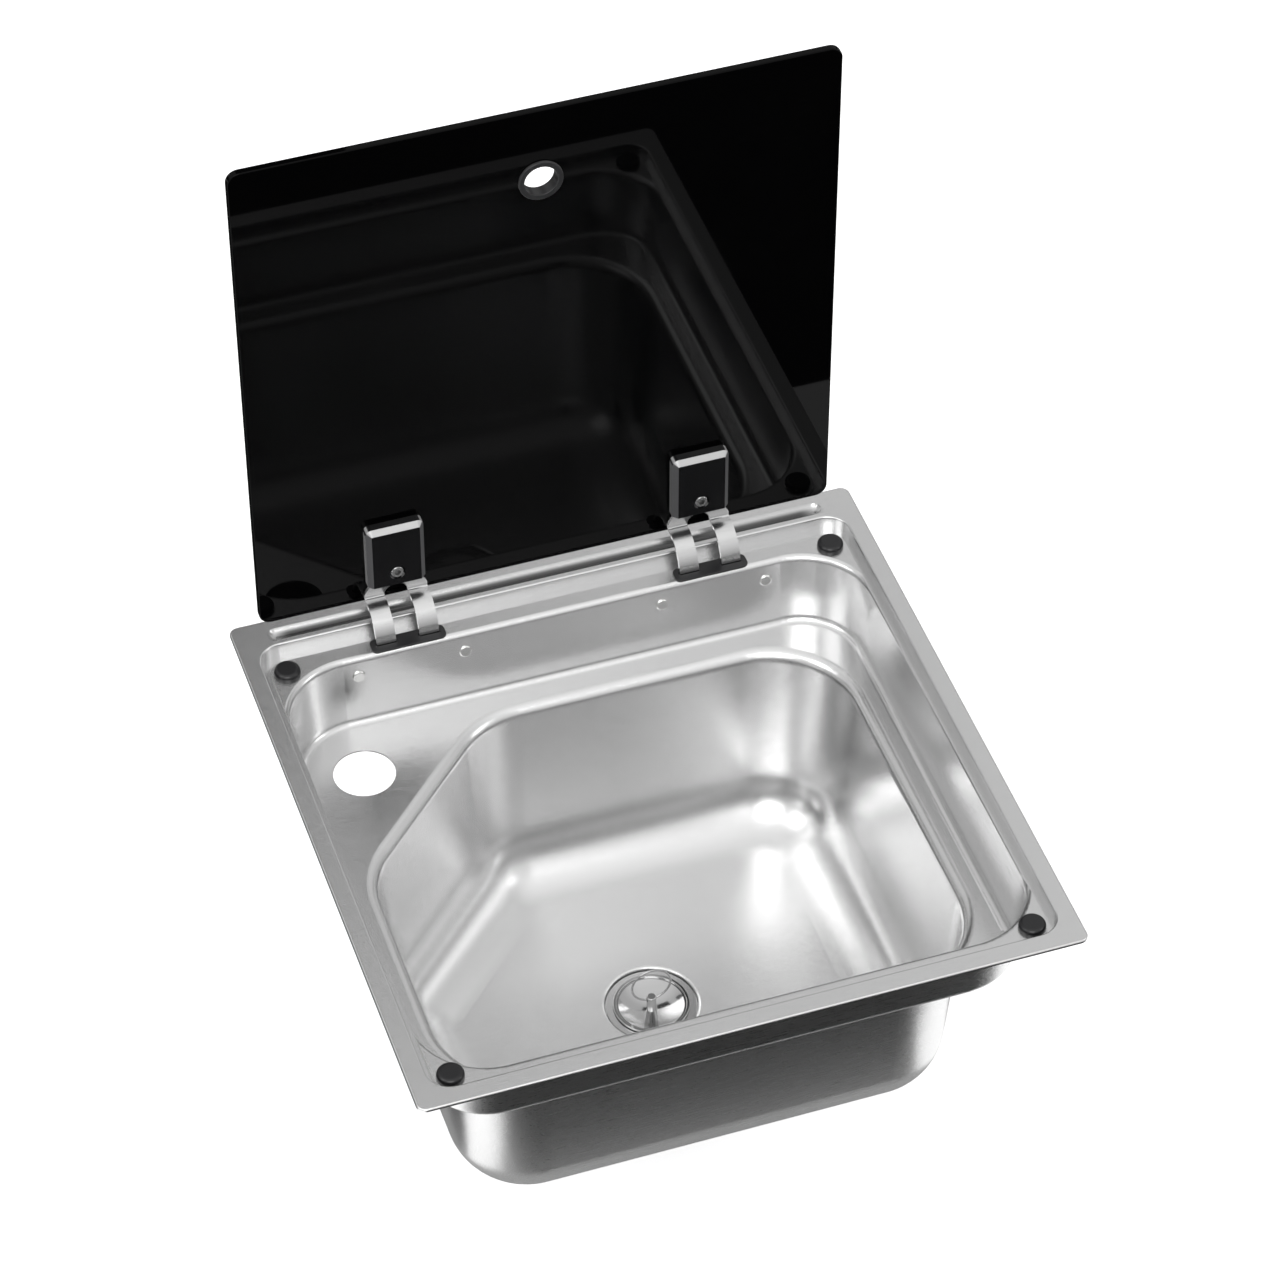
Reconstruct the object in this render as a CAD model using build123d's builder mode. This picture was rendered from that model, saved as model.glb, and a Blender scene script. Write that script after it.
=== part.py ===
"""Drop-in sink for a camper, with a glass lid that hinges over the bowl.

Millimetres. +X is right, +Y is back (the hinge side), +Z is up. The origin is the middle of the rim, on the
worktop that the rim rests on. The lid is modelled open.
"""

import os
from math import cos, pi, radians, sin, sqrt, tan

from build123d import *

os.makedirs("parts", exist_ok=True)

# ---------------------------------------------------------------- driving dimensions
# sheet and rim
sheet = 0.8
rim_width = 420.0
rim_depth = 420.0
rim_corner = 6.0
rim_height = 2.0
lip_round = 1.1

# recess that takes the lid, given by the strips of rim left round it
side_strip = 12.2
front_strip = 12.9
back_strip = 23.5
recess_corner = 15.0
recess_edge_round = 1.2
ledge_drop = 7.0

# drain channel round the ledge
channel_depth = 2.0
channel_side = 4.5
channel_back = 8.8
channel_corner = 11.0

# trough behind the ridge
ridge_width = 4.2
trough_width = 10.8
trough_depth = 3.2
trough_end_gap = 7.8

# upper bowl, given by the ledge left round it
ledge_side = 4.4
ledge_front = 12.2
ledge_before_liner = 0.8
upper_corner = 46.0
upper_draft = 5.4
ledge_roll = 4.0
shelf_drop = 59.0
shelf_fillet = 5.0

# lower bowl, given by its distances from the upper bowl's sides at the ledge
shelf_side = 23.4
shelf_front = 27.1
shelf_back = 27.6
lower_corner = 58.0
corner_cut = 106.5
lower_draft = 4.6
shelf_roll = 8.0
bowl_depth = 197.0
floor_fillet = 40.0

# tap hole in the shelf, from the upper bowl's left and back sides
tap_from_side = 44.0
tap_from_back = 49.2
tap_radius = 20.0

# waste recess, pressed in the floor a little forward of the bowl's middle
waste_forward = 1.6
waste_recess_radius = 29.8
waste_recess_depth = 3.5
waste_recess_round = 2.2
waste_hole_inset = 5.8

# lid
lid_side_gap = 6.3
lid_front_gap = 5.43
lid_thick = 5.0
lid_corner = 8.0
lid_edge_round = 0.8
lid_gap_below = 9.57
finger_hole_radius = 12.5
finger_hole_from_top = 52.3

grommet_lip = 1.6
grommet_proud = 1.8
grommet_wall = 2.0

# bumpers, from the recess's edges
bumper_radius = 8.5
bumper_from_side = 14.8
bumper_from_back = 19.9
bumper_from_front = 13.1
bumper_skirt = 1.6
bumper_gap = 0.1

# hinges, from where the upper bowl's back corners begin
hinge_inset = 45.4
knuckle_gap = 0.75
pivot_drop = 8.15
pivot_to_glass = 5.65
pin_radius = 2.0
running_fit = 0.05
leaf_thick = 2.0
arm_outer_radius = 21.3
arm_width = 13.0
arm_slot = 15.5
arm_end_angle = 200.0
arm_play = 0.5
toe_beyond_arm = 3.7
toe_gap = 0.1
leaf_bend = 1.5
leaf_neck = 33.0
leaf_slot_top = 21.0
leaf_corner = 3.0
gasket_thick = 0.5
end_play = 0.1
washer_thick = 1.0
spring_thick = 0.7
pin_head_thick = 1.5
pin_head_radius = 3.5
pin_tip = 1.2
clip_thick = 0.8
clip_radius = 3.8
groove_radius = 1.5
groove_play = 0.1

# hinge cover
cover_width = 38.0
cover_height = 48.0
cover_thick = 8.5
cover_bottom = 26.0
cover_chamfer = 3.2
cover_corner = 4.0
cover_side_fit = 0.2
cover_web = 1.0
pocket_inset = 2.2
screw_rise = 10.0
screw_radius = 2.5
screw_head_radius = 4.25
screw_head_height = 5.0
screw_length = 12.0
screw_socket = 4.0
screw_recess_radius = 5.25
screw_play = 0.2

# clamp behind the glass
glass_hole_radius = 6.0
boss_radius = 4.3
boss_play = 0.2
pad_thick = 1.0
backplate_thick = 3.0

# hinge bracket
bracket_thick = 2.0
bracket_below_ledge = 4.5
bracket_height = 21.5
rivet_spacing = 71.0
rivet_below_tab = 9.5
rivet_radius = 2.0
rivet_head_radius = 4.2
rivet_head_height = 1.2
rivet_tail_radius = 3.3
rivet_tail_height = 1.5
ear_gap = 3.0
ear_head_radius = 4.2
ear_foot = 18.0

# slot escutcheon
slot_wall = 1.2
escutcheon_side = 2.35
escutcheon_front = 4.85
escutcheon_back = 4.05
escutcheon_thick = 1.2
escutcheon_corner = 4.0

# rim seal
seal_width = 5.7
seal_gap = 0.4

# plug, from the waste recess's edge
plug_inset = 5.0
plug_rim_height = 1.2
plug_rim_width = 2.2
dish_inset = 3.4
dish_step = 1.0
dish_depth = 4.4
plug_sheet = 0.8
plug_seal_thick = 0.9
plug_seal_drop = 4.0
plug_seal_lip = 0.9
post_radius = 3.25
post_height = 11.9
post_hole_drop = 2.5
post_hole_radius = 1.35
post_foot_radius = 6.0
post_foot_thick = 1.0
ring_radius = 13.0
ring_wire = 0.75
ring_lean = 2.0

# waste
seal_thick = 0.6
flange_thick = 1.0
flange_inset = 0.6
throat_depth = 12.0
strainer_thick = 1.2
drain_hole_radius = 2.4
drain_hole_ring = 13.5
waste_screw_radius = 3.0
waste_screw_length = 22.0
screw_cap_radius = 5.5
screw_cap_height = 2.8
screw_slot = 1.4
lower_seal_thick = 1.5
body_flange_over = 0.2
body_wall = 2.8
body_depth = 30.0
boss_outer = 7.0
boss_depth = 14.0
spoke_width = 3.0
outlet_radius = 16.5
outlet_bore = 12.5
outlet_length = 18.0
tail_radius = 12.5
tail_bore = 10.0
tail_length = 34.0
tail_neck = 3.0
tail_flange_thick = 3.0
tail_washer_thick = 2.0
nut_height = 16.0
nut_floor = 2.5
nut_radius = 21.5
clearance = 0.2

# ---------------------------------------------------------------- places worked out from them
recess_half = rim_width / 2 - side_strip
recess_front = -rim_depth / 2 + front_strip
recess_back = rim_depth / 2 - back_strip
knuckle_radius = 2 * pin_radius
pivot_y = recess_back + sheet + knuckle_gap + knuckle_radius
arm_inner_radius = arm_outer_radius - leaf_thick
slot_front = pivot_y - arm_outer_radius - arm_play
slot_back = pivot_y - arm_inner_radius + arm_play
upper_half = recess_half - ledge_side
upper_front = recess_front + ledge_front
upper_back = slot_front - escutcheon_front - ledge_before_liner
lower_half = upper_half - shelf_side
lower_front = upper_front + shelf_front
lower_back = upper_back - shelf_back
tap_x = -upper_half + tap_from_side
tap_y = upper_back - tap_from_back
waste_y = (lower_front + lower_back) / 2 - waste_forward
bumper_x = recess_half - bumper_from_side
hinge_x = upper_half - upper_corner - hinge_inset
toe_reach = arm_outer_radius + toe_beyond_arm
waste_hole_radius = waste_recess_radius - waste_hole_inset
flange_radius = waste_recess_radius - flange_inset
body_flange_radius = waste_recess_radius + body_flange_over
plug_radius = waste_recess_radius - plug_inset
dish_radius = plug_radius - dish_inset
rim_top = rim_height
ledge_z = rim_top - ledge_drop
channel_z = ledge_z - channel_depth
shelf_z = rim_top - shelf_drop
floor_z = rim_top - bowl_depth
waste_floor_z = floor_z - waste_recess_depth
pivot_z = rim_top - pivot_drop
glass_front = pivot_y + pivot_to_glass
glass_back = glass_front + lid_thick
bracket_top = ledge_z - bracket_below_ledge
rivet_z = bracket_top - rivet_below_tab
lid_width = 2 * (recess_half - lid_side_gap)
lid_bottom = rim_top + lid_gap_below
lid_depth = pivot_y - (lid_bottom - pivot_z) - recess_front - lid_front_gap
lid_top = lid_bottom + lid_depth
screw_z = rim_top + cover_bottom + screw_rise
above = 20.0


def back_wall_y(z):
    """Air side of the upper bowl's back wall at height z."""
    return upper_back - (ledge_z - z) * tan(radians(upper_draft))


def rounded_box(half, front, back, corner):
    """A rounded rectangle that is symmetric in X and runs from front to back in Y."""
    with Locations((0, (front + back) / 2)):
        RectangleRounded(2 * half, back - front, corner)


def lower_corners(grow):
    """Corners of the lower bowl's mouth, one of them cut off, grown outward."""
    cut = corner_cut + grow * (2 - sqrt(2))
    left, right = -lower_half - grow, lower_half + grow
    front, back = lower_front - grow, lower_back + grow
    return [(left, front), (right, front), (right, back), (left + cut, back), (left, back - cut)]


def edges_at(part, z, half, front, back):
    """Edges of a part that lie flat at height z, inside a rectangle."""
    slack = 0.01
    picked = part.edges().filter_by(
        lambda e: abs(e.bounding_box().min.Z - z) < slack and abs(e.bounding_box().max.Z - z) < slack
    )
    return picked.filter_by(
        lambda e: e.bounding_box().max.X < half + slack
        and e.bounding_box().min.X > -half - slack
        and e.bounding_box().min.Y > front - slack
        and e.bounding_box().max.Y < back + slack
    )


def pressing(skin):
    """The space that the pressing goes round: its air side for skin 0, its underside for skin = sheet."""
    low = (shelf_z - floor_z) * tan(radians(lower_draft))
    inset = (ledge_z - shelf_z) * tan(radians(upper_draft))
    with BuildPart() as space:
        # upper bowl
        with BuildSketch(Plane.XY.offset(shelf_z - skin)):
            grow = skin - inset
            rounded_box(upper_half + grow, upper_front - grow, upper_back + grow, upper_corner + grow)
        extrude(amount=ledge_z - shelf_z, taper=-upper_draft)
        fillet(space.faces().sort_by(Axis.Z)[0].edges(), radius=shelf_fillet + skin)
        # lower bowl
        with BuildSketch(Plane.XY.offset(floor_z - skin)) as floor:
            with BuildLine():
                Polyline(*lower_corners(skin - low), close=True)
            make_face()
            fillet(floor.vertices(), radius=lower_corner + skin - low)
        extrude(amount=shelf_z - floor_z, taper=-lower_draft)
        fillet(space.faces().sort_by(Axis.Z)[0].edges(), radius=floor_fillet + skin)
        mouth = edges_at(
            space,
            shelf_z - skin,
            lower_half + skin,
            lower_front - skin,
            lower_back + skin,
        )
        fillet(mouth, radius=shelf_roll - skin)
        # recess for the lid, open above
        with BuildSketch(Plane.XY.offset(ledge_z - skin)):
            rounded_box(recess_half + skin, recess_front - skin, recess_back + skin, recess_corner + skin)
        extrude(amount=ledge_drop)
        mouth = edges_at(
            space,
            ledge_z - skin,
            upper_half + skin,
            upper_front - skin,
            upper_back + skin,
        )
        fillet(mouth, radius=ledge_roll - skin)
        # room above the rim
        with BuildSketch(Plane.XY.offset(rim_top - skin)):
            Rectangle(rim_width + above, rim_depth + above)
        extrude(amount=above)
        if skin == 0:
            brim = edges_at(space, rim_top, recess_half, recess_front, recess_back)
            fillet(brim, radius=recess_edge_round)
        # drain channel
        with BuildSketch(Plane.XY.offset(channel_z - skin)):
            rounded_box(recess_half + skin, recess_front - skin, recess_back + skin, recess_corner + skin)
            with Locations((0, (recess_front + channel_side + recess_back - channel_back) / 2)):
                RectangleRounded(
                    2 * (recess_half - channel_side - skin),
                    recess_back - channel_back - recess_front - channel_side - 2 * skin,
                    channel_corner - skin,
                    mode=Mode.SUBTRACT,
                )
        extrude(amount=channel_depth)
        # trough
        half = trough_width / 2
        trough_radius = (half**2 + trough_depth**2) / (2 * trough_depth)
        trough_y = recess_back + ridge_width + half
        trough_z = rim_top - trough_depth + trough_radius
        end_x = rim_width / 2 - trough_end_gap - recess_corner - half
        with Locations((0, trough_y, trough_z)):
            Cylinder(trough_radius + skin, 2 * end_x, rotation=(0, 90, 0))
        with Locations((-end_x, trough_y, trough_z), (end_x, trough_y, trough_z)):
            Sphere(trough_radius + skin)
        # waste recess
        with Locations((0, waste_y, waste_floor_z - skin)):
            Cylinder(
                waste_recess_radius + skin,
                waste_recess_depth,
                align=(Align.CENTER, Align.CENTER, Align.MIN),
            )
        mouth = edges_at(space, floor_z - skin, waste_recess_radius + skin, -above * 3, above * 3)
        fillet(mouth, radius=waste_recess_round - skin)
    return space.part


def wall_outside_y(z):
    """Outside of the upper bowl's back wall at height z."""
    return back_wall_y(z) + sheet * (1 + tan(radians(upper_draft)))


def both_sides(width, x=0.0):
    """The two planes, facing +X, whose middles lie half a width either side of x."""
    return [Plane.YZ.offset(x - width), Plane.YZ.offset(x + width)]


def facing_front(y):
    """A plane that faces the front, at depth y, with X right and Z up."""
    return Plane.XZ.offset(-y)


def save(part, name):
    """Labels a finished piece and writes it."""
    part.label = name
    export_step(part, f"parts/{name}.step")


# ---------------------------------------------------------------- sink bowl
arm_span = arm_slot / 2 + arm_width
floor_slot_half = arm_span + arm_play + slot_wall
floor_slot_middle = (slot_front + slot_back) / 2
floor_slot_depth = slot_back - slot_front + 2 * slot_wall
wall_normal = Vector(0, cos(radians(upper_draft)), -sin(radians(upper_draft)))
rivet_places = [
    Plane(
        origin=(side * hinge_x + end * rivet_spacing / 2, back_wall_y(rivet_z), rivet_z),
        x_dir=(1, 0, 0),
        z_dir=wall_normal,
    )
    for side in (-1, 1)
    for end in (-1, 1)
]

with BuildPart() as sink_bowl:
    add(pressing(sheet))
    with BuildSketch(Plane.XY.offset(waste_floor_z - sheet)):
        RectangleRounded(rim_width, rim_depth, rim_corner)
    extrude(amount=rim_top - waste_floor_z + sheet, mode=Mode.INTERSECT)
    with BuildSketch():
        RectangleRounded(rim_width, rim_depth, rim_corner)
        offset(amount=-sheet, mode=Mode.SUBTRACT)
    extrude(amount=rim_top)
    add(pressing(0), mode=Mode.SUBTRACT)
    brow = edges_at(sink_bowl, rim_top, rim_width, -rim_depth, rim_depth).filter_by(
        lambda e: max(abs(e.center().X), abs(e.center().Y)) > rim_width / 2 - rim_corner
    )
    fillet(brow, radius=lip_round)
    # tap hole and waste hole
    with Locations((tap_x, tap_y, shelf_z)):
        Cylinder(tap_radius, 4 * sheet, mode=Mode.SUBTRACT)
    with Locations((0, waste_y, waste_floor_z)):
        Cylinder(waste_hole_radius, 4 * sheet, mode=Mode.SUBTRACT)
    # slots for the hinge arms
    with Locations(*[(side * hinge_x, floor_slot_middle, ledge_z) for side in (-1, 1)]):
        Box(2 * floor_slot_half, floor_slot_depth, 4 * sheet, mode=Mode.SUBTRACT)
    # rivet holes
    for place in rivet_places:
        with Locations(place):
            Cylinder(rivet_radius + running_fit, 6 * sheet, mode=Mode.SUBTRACT)
save(sink_bowl.part, "sink_bowl")

with BuildPart() as rim_seal:
    with BuildSketch():
        RectangleRounded(rim_width, rim_depth, rim_corner)
        offset(amount=-sheet - seal_gap)
        offset(amount=-seal_width, mode=Mode.SUBTRACT)
    extrude(amount=rim_top - sheet)
save(rim_seal.part, "rim_seal")

# ---------------------------------------------------------------- lid bumpers
lid_rest_z = pivot_z + pivot_to_glass
bumper_height = lid_rest_z - bumper_gap - ledge_z

with BuildPart() as lid_bumpers:
    bumper_ys = (recess_front + bumper_from_front, recess_back - bumper_from_back)
    bumper_places = [(side * bumper_x, y) for side in (-1, 1) for y in bumper_ys]
    with BuildSketch(Plane.XY.offset(ledge_z)):
        with Locations(*bumper_places):
            Circle(bumper_radius)
    extrude(amount=bumper_height)
    tops = lid_bumpers.faces().filter_by(Axis.Z).group_by(Axis.Z)[-1]
    fillet(tops.edges(), radius=bumper_height - bumper_skirt)
save(lid_bumpers.part, "lid_bumpers")

# ---------------------------------------------------------------- lid
finger_hole_z = lid_top - finger_hole_from_top

with BuildPart() as lid_glass:
    with BuildSketch(facing_front(glass_front)):
        with Locations((0, (lid_bottom + lid_top) / 2)):
            RectangleRounded(lid_width, lid_depth, lid_corner)
    extrude(amount=-lid_thick)
    rims = lid_glass.faces().filter_by(Axis.Y).edges()
    fillet(rims, radius=lid_edge_round)
    with Locations((0, glass_front, finger_hole_z)):
        Cylinder(finger_hole_radius, 3 * lid_thick, rotation=(90, 0, 0), mode=Mode.SUBTRACT)
    with Locations(*[(side * hinge_x, glass_front, screw_z) for side in (-1, 1)]):
        Cylinder(glass_hole_radius, 3 * lid_thick, rotation=(90, 0, 0), mode=Mode.SUBTRACT)
save(lid_glass.part, "lid_glass")

with BuildPart() as finger_hole_grommet:
    with BuildSketch(facing_front(glass_front - grommet_proud)):
        with Locations((0, finger_hole_z)):
            Circle(finger_hole_radius + grommet_lip)
    extrude(amount=-lid_thick - 2 * grommet_proud)
    with BuildSketch(facing_front(glass_front)):
        with Locations((0, finger_hole_z)):
            Circle(finger_hole_radius + 2 * grommet_lip)
            Circle(finger_hole_radius - clearance / 2, mode=Mode.SUBTRACT)
    extrude(amount=-lid_thick, mode=Mode.SUBTRACT)
    with BuildSketch(facing_front(glass_front - 2 * grommet_proud)):
        with Locations((0, finger_hole_z)):
            Circle(finger_hole_radius - grommet_wall)
    extrude(amount=-lid_thick - 4 * grommet_proud, mode=Mode.SUBTRACT)
    lips = finger_hole_grommet.faces().filter_by(Axis.Y)
    fillet((lips.sort_by(Axis.Y)[0].edges() + lips.sort_by(Axis.Y)[-1].edges()), radius=grommet_proud / 3)
save(finger_hole_grommet.part, "finger_hole_grommet")

# ---------------------------------------------------------------- hinge leaf
leaf_back = glass_front - gasket_thick
leaf_front = leaf_back - leaf_thick
bend_y = leaf_front - leaf_bend
bend_z = pivot_z + arm_outer_radius + leaf_bend
stop_face_z = bracket_top - bracket_thick
leaf_top = rim_top + cover_bottom + cover_height - 2 * gasket_thick - leaf_thick - 1.0
leaf_shoulder_z = bend_z + leaf_thick
leaf_neck_z = rim_top + cover_bottom - leaf_thick


def hinge_leaf(x):
    """Leaf and its two arms, which curve round the pivot and end in knuckles on the pin."""
    pivot = (pivot_y, pivot_z)
    sweep = arm_end_angle - 90
    with BuildPart() as leaf:
        with BuildSketch(*both_sides((arm_slot + arm_width) / 2, x)) as arm:
            with BuildLine():
                outer = CenterArc(pivot, arm_outer_radius, 90, sweep)
                inner = CenterArc(pivot, arm_inner_radius, 90, sweep)
                Line(outer @ 0, inner @ 0)
                Line(outer @ 1, inner @ 1)
            make_face()
            # over the ridge to the bend, and up to the leaf
            with Locations((pivot_y, pivot_z + arm_inner_radius)):
                Rectangle(bend_y - pivot_y, leaf_thick, align=(Align.MIN, Align.MIN))
            with BuildLine():
                outer = CenterArc((bend_y, bend_z), leaf_bend + leaf_thick, -90, 90)
                inner = CenterArc((bend_y, bend_z), leaf_bend, -90, 90)
                Line(outer @ 0, inner @ 0)
                Line(outer @ 1, inner @ 1)
            make_face()
            # strap under the channel, from the arm to the knuckle
            with Locations((pivot_y, pivot_z - knuckle_radius)):
                strap = (arm_inner_radius + arm_outer_radius) / 2
                Rectangle(strap, leaf_thick, align=(Align.MAX, Align.MIN))
            with Locations(pivot):
                Circle(knuckle_radius)
                Circle(pin_radius + running_fit, mode=Mode.SUBTRACT)
            # toe that meets the open stop
            with Locations((pivot_y - arm_inner_radius + leaf_thick / 2, stop_face_z - toe_gap)):
                toe = toe_reach - arm_inner_radius + leaf_thick / 2
                Rectangle(toe - leaf_thick / 2, leaf_thick, align=(Align.MAX, Align.MAX))
        extrude(amount=arm_width / 2, both=True)
        with BuildSketch(facing_front(leaf_front)) as plate:
            with BuildLine():
                Polyline(
                    (x - arm_span, bend_z),
                    (x - arm_span, leaf_shoulder_z),
                    (x - leaf_neck / 2, leaf_neck_z),
                    (x - leaf_neck / 2, leaf_top),
                    (x + leaf_neck / 2, leaf_top),
                    (x + leaf_neck / 2, leaf_neck_z),
                    (x + arm_span, leaf_shoulder_z),
                    (x + arm_span, bend_z),
                    close=True,
                )
            make_face()
            fillet(plate.vertices().filter_by(lambda v: v.Y > bend_z + leaf_thick / 2), radius=leaf_corner)
            with Locations((x, rim_top + leaf_slot_top - arm_slot / 2)):
                Circle(arm_slot / 2, mode=Mode.SUBTRACT)
            with Locations((x, screw_z)):
                Circle(screw_radius + screw_play, mode=Mode.SUBTRACT)
        extrude(amount=-leaf_thick)
    return leaf.part


# ---------------------------------------------------------------- hinge cover and glass clamp
cover_front = glass_front - cover_thick
cover_bottom_z = rim_top + cover_bottom
cover_top_z = cover_bottom_z + cover_height


def hinge_cover(x):
    """Cover over the leaf, bevelled at the sides and top, hollow behind."""
    with BuildPart() as cover:
        with BuildSketch(facing_front(glass_front)) as outline:
            with Locations((x, cover_bottom_z)):
                Rectangle(cover_width, cover_height, align=(Align.CENTER, Align.MIN))
            fillet(outline.vertices().group_by(Axis.Y)[-1], radius=cover_corner)
        extrude(amount=cover_thick)
        face = cover.faces().sort_by(Axis.Y)[0]
        bevels = face.edges().filter_by(lambda e: e.center().Z > cover_bottom_z + cover_chamfer)
        chamfer(bevels, length=cover_chamfer)
        # bed of the leaf, open at the bottom
        with BuildSketch(facing_front(glass_front)):
            with Locations((x, cover_bottom_z)):
                bed_height = leaf_top + cover_side_fit - cover_bottom_z
                bed_width = leaf_neck + 2 * cover_side_fit
                Rectangle(bed_width, bed_height, align=(Align.CENTER, Align.MIN))
        extrude(amount=gasket_thick + leaf_thick, mode=Mode.SUBTRACT)
        # lightening pocket above the screw
        with BuildSketch(facing_front(glass_front)):
            with Locations((x, leaf_top - pocket_inset)):
                pocket_height = leaf_top - pocket_inset - screw_z - screw_recess_radius - pocket_inset
                pocket_width = leaf_neck - 2 * pocket_inset
                Rectangle(pocket_width, pocket_height, align=(Align.CENTER, Align.MAX))
        extrude(amount=cover_thick - pocket_inset, mode=Mode.SUBTRACT)
        with Locations((x, cover_front, screw_z)):
            Cylinder(screw_radius + screw_play, 3 * cover_thick, rotation=(90, 0, 0), mode=Mode.SUBTRACT)
            Cylinder(
                screw_recess_radius,
                2 * (cover_thick - gasket_thick - leaf_thick - cover_web),
                rotation=(90, 0, 0),
                mode=Mode.SUBTRACT,
            )
    return cover.part


clamp_width = leaf_neck
clamp_low = cover_bottom_z + leaf_thick
clamp_high = leaf_top


def clamp_plate(x, y, thick, hole):
    """A rounded plate of the clamp, from depth y backwards, with a round hole on the screw's axis."""
    with BuildPart() as plate:
        with BuildSketch(facing_front(y)):
            with Locations((x, (clamp_low + clamp_high) / 2)):
                RectangleRounded(clamp_width, clamp_high - clamp_low, cover_corner)
            with Locations((x, screw_z)):
                Circle(hole, mode=Mode.SUBTRACT)
        extrude(amount=-thick)
    return plate.part


def backplate(x):
    """Plate behind the glass, with the threaded boss that reaches through to the leaf."""
    plate_y = glass_back + pad_thick
    with BuildPart() as plate:
        add(clamp_plate(x, plate_y, backplate_thick, screw_radius))
        back = plate.faces().sort_by(Axis.Y)[-1].outer_wire().edges()
        fillet(back, radius=backplate_thick / 3)
        with BuildSketch(facing_front(plate_y)):
            with Locations((x, screw_z)):
                Circle(boss_radius)
        extrude(amount=plate_y - leaf_back)
        with Locations((x, plate_y, screw_z)):
            Cylinder(screw_radius + running_fit, 4 * lid_thick, rotation=(90, 0, 0), mode=Mode.SUBTRACT)
    return plate.part


with BuildPart() as hinge_screws:
    head_y = leaf_front - cover_web
    screw_places = [(side * hinge_x, screw_z) for side in (-1, 1)]
    with BuildSketch(facing_front(head_y)):
        with Locations(*screw_places):
            Circle(screw_head_radius)
    extrude(amount=screw_head_height)
    heads = hinge_screws.faces().filter_by(Axis.Y).group_by(Axis.Y)[0]
    chamfer(heads.edges(), length=screw_head_height / 12)
    with BuildSketch(facing_front(head_y)):
        with Locations(*screw_places):
            Circle(screw_radius)
    extrude(amount=-screw_length)
    with BuildSketch(facing_front(head_y - screw_head_height)):
        with Locations(*screw_places):
            RegularPolygon(screw_socket / 2, 6, major_radius=False)
    extrude(amount=-screw_head_height / 2, mode=Mode.SUBTRACT)
save(hinge_screws.part, "hinge_screws")

with BuildPart() as glass_bushes:
    with BuildSketch(facing_front(glass_front)):
        with Locations(*screw_places):
            Circle(glass_hole_radius - running_fit)
            Circle(boss_radius + running_fit, mode=Mode.SUBTRACT)
    extrude(amount=-lid_thick)
save(glass_bushes.part, "glass_bushes")

# ---------------------------------------------------------------- hinge bracket and what is on its pin
ear_inside = arm_span + ear_gap
ear_outside = ear_inside + bracket_thick
bracket_low = bracket_top - bracket_height
bracket_half = rivet_spacing / 2 + 2 * rivet_radius + 2 * bracket_thick
tab_reach = pivot_y - sqrt(arm_outer_radius**2 - (pivot_z - bracket_top) ** 2) - arm_play
plate_run = bracket_thick / cos(radians(upper_draft))


def hinge_bracket(x):
    """Plate riveted behind the upper back wall, with a folded stop tab and two ears for the pin."""
    with BuildPart() as bracket:
        with BuildSketch(Plane.YZ.offset(x)):
            with BuildLine():
                Polyline(
                    (wall_outside_y(bracket_top), bracket_top),
                    (wall_outside_y(bracket_low), bracket_low),
                    (wall_outside_y(bracket_low) + plate_run, bracket_low),
                    (wall_outside_y(bracket_top) + plate_run, bracket_top),
                    close=True,
                )
            make_face()
        extrude(amount=bracket_half, both=True)
        # stop tab between the ears
        with Locations((x, tab_reach, bracket_top)):
            tab_length = tab_reach - wall_outside_y(bracket_top) - bracket_thick / 2
            Box(
                2 * ear_inside + bracket_thick,
                tab_length,
                bracket_thick,
                align=(Align.CENTER, Align.MAX, Align.MAX),
            )
        # ears
        with BuildSketch(*both_sides(ear_inside + bracket_thick / 2, x)):
            with BuildLine():
                Polyline(
                    (wall_outside_y(bracket_top) + bracket_thick / 2, bracket_top),
                    (pivot_y - ear_head_radius, bracket_top),
                    (pivot_y - ear_head_radius, pivot_z),
                    (pivot_y + ear_head_radius, pivot_z),
                    (pivot_y + ear_head_radius, pivot_z - ear_head_radius),
                    (pivot_y, pivot_z - ear_foot),
                    (wall_outside_y(bracket_low) + bracket_thick / 2, bracket_low),
                    close=True,
                )
            make_face()
            with Locations((pivot_y, pivot_z)):
                Circle(ear_head_radius)
                Circle(pin_radius + running_fit, mode=Mode.SUBTRACT)
        extrude(amount=bracket_thick / 2, both=True)
        for place in rivet_places:
            if abs(place.origin.X - x) < rivet_spacing:
                with Locations(place):
                    Cylinder(rivet_radius + running_fit, 8 * bracket_thick, mode=Mode.SUBTRACT)
    return bracket.part


groove_x = ear_outside + clearance
pin_end_x = groove_x + clip_thick + groove_play + pin_tip


def hinge_pin(x):
    """Headed pin with a groove for its clip at the right."""
    with BuildPart() as pin:
        with BuildSketch(Plane.YZ.offset(x - ear_outside)):
            with Locations((pivot_y, pivot_z)):
                Circle(pin_radius)
        extrude(amount=ear_outside + pin_end_x)
        with BuildSketch(Plane.YZ.offset(x - ear_outside)):
            with Locations((pivot_y, pivot_z)):
                Circle(pin_head_radius)
        extrude(amount=-pin_head_thick)
        fillet(pin.faces().sort_by(Axis.X)[0].edges(), radius=pin_head_thick / 3)
        with BuildSketch(Plane.YZ.offset(x + groove_x - groove_play / 2)):
            with Locations((pivot_y, pivot_z)):
                Circle(pin_radius + clearance)
                Circle(groove_radius, mode=Mode.SUBTRACT)
        extrude(amount=clip_thick + groove_play, mode=Mode.SUBTRACT)
    return pin.part


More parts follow.
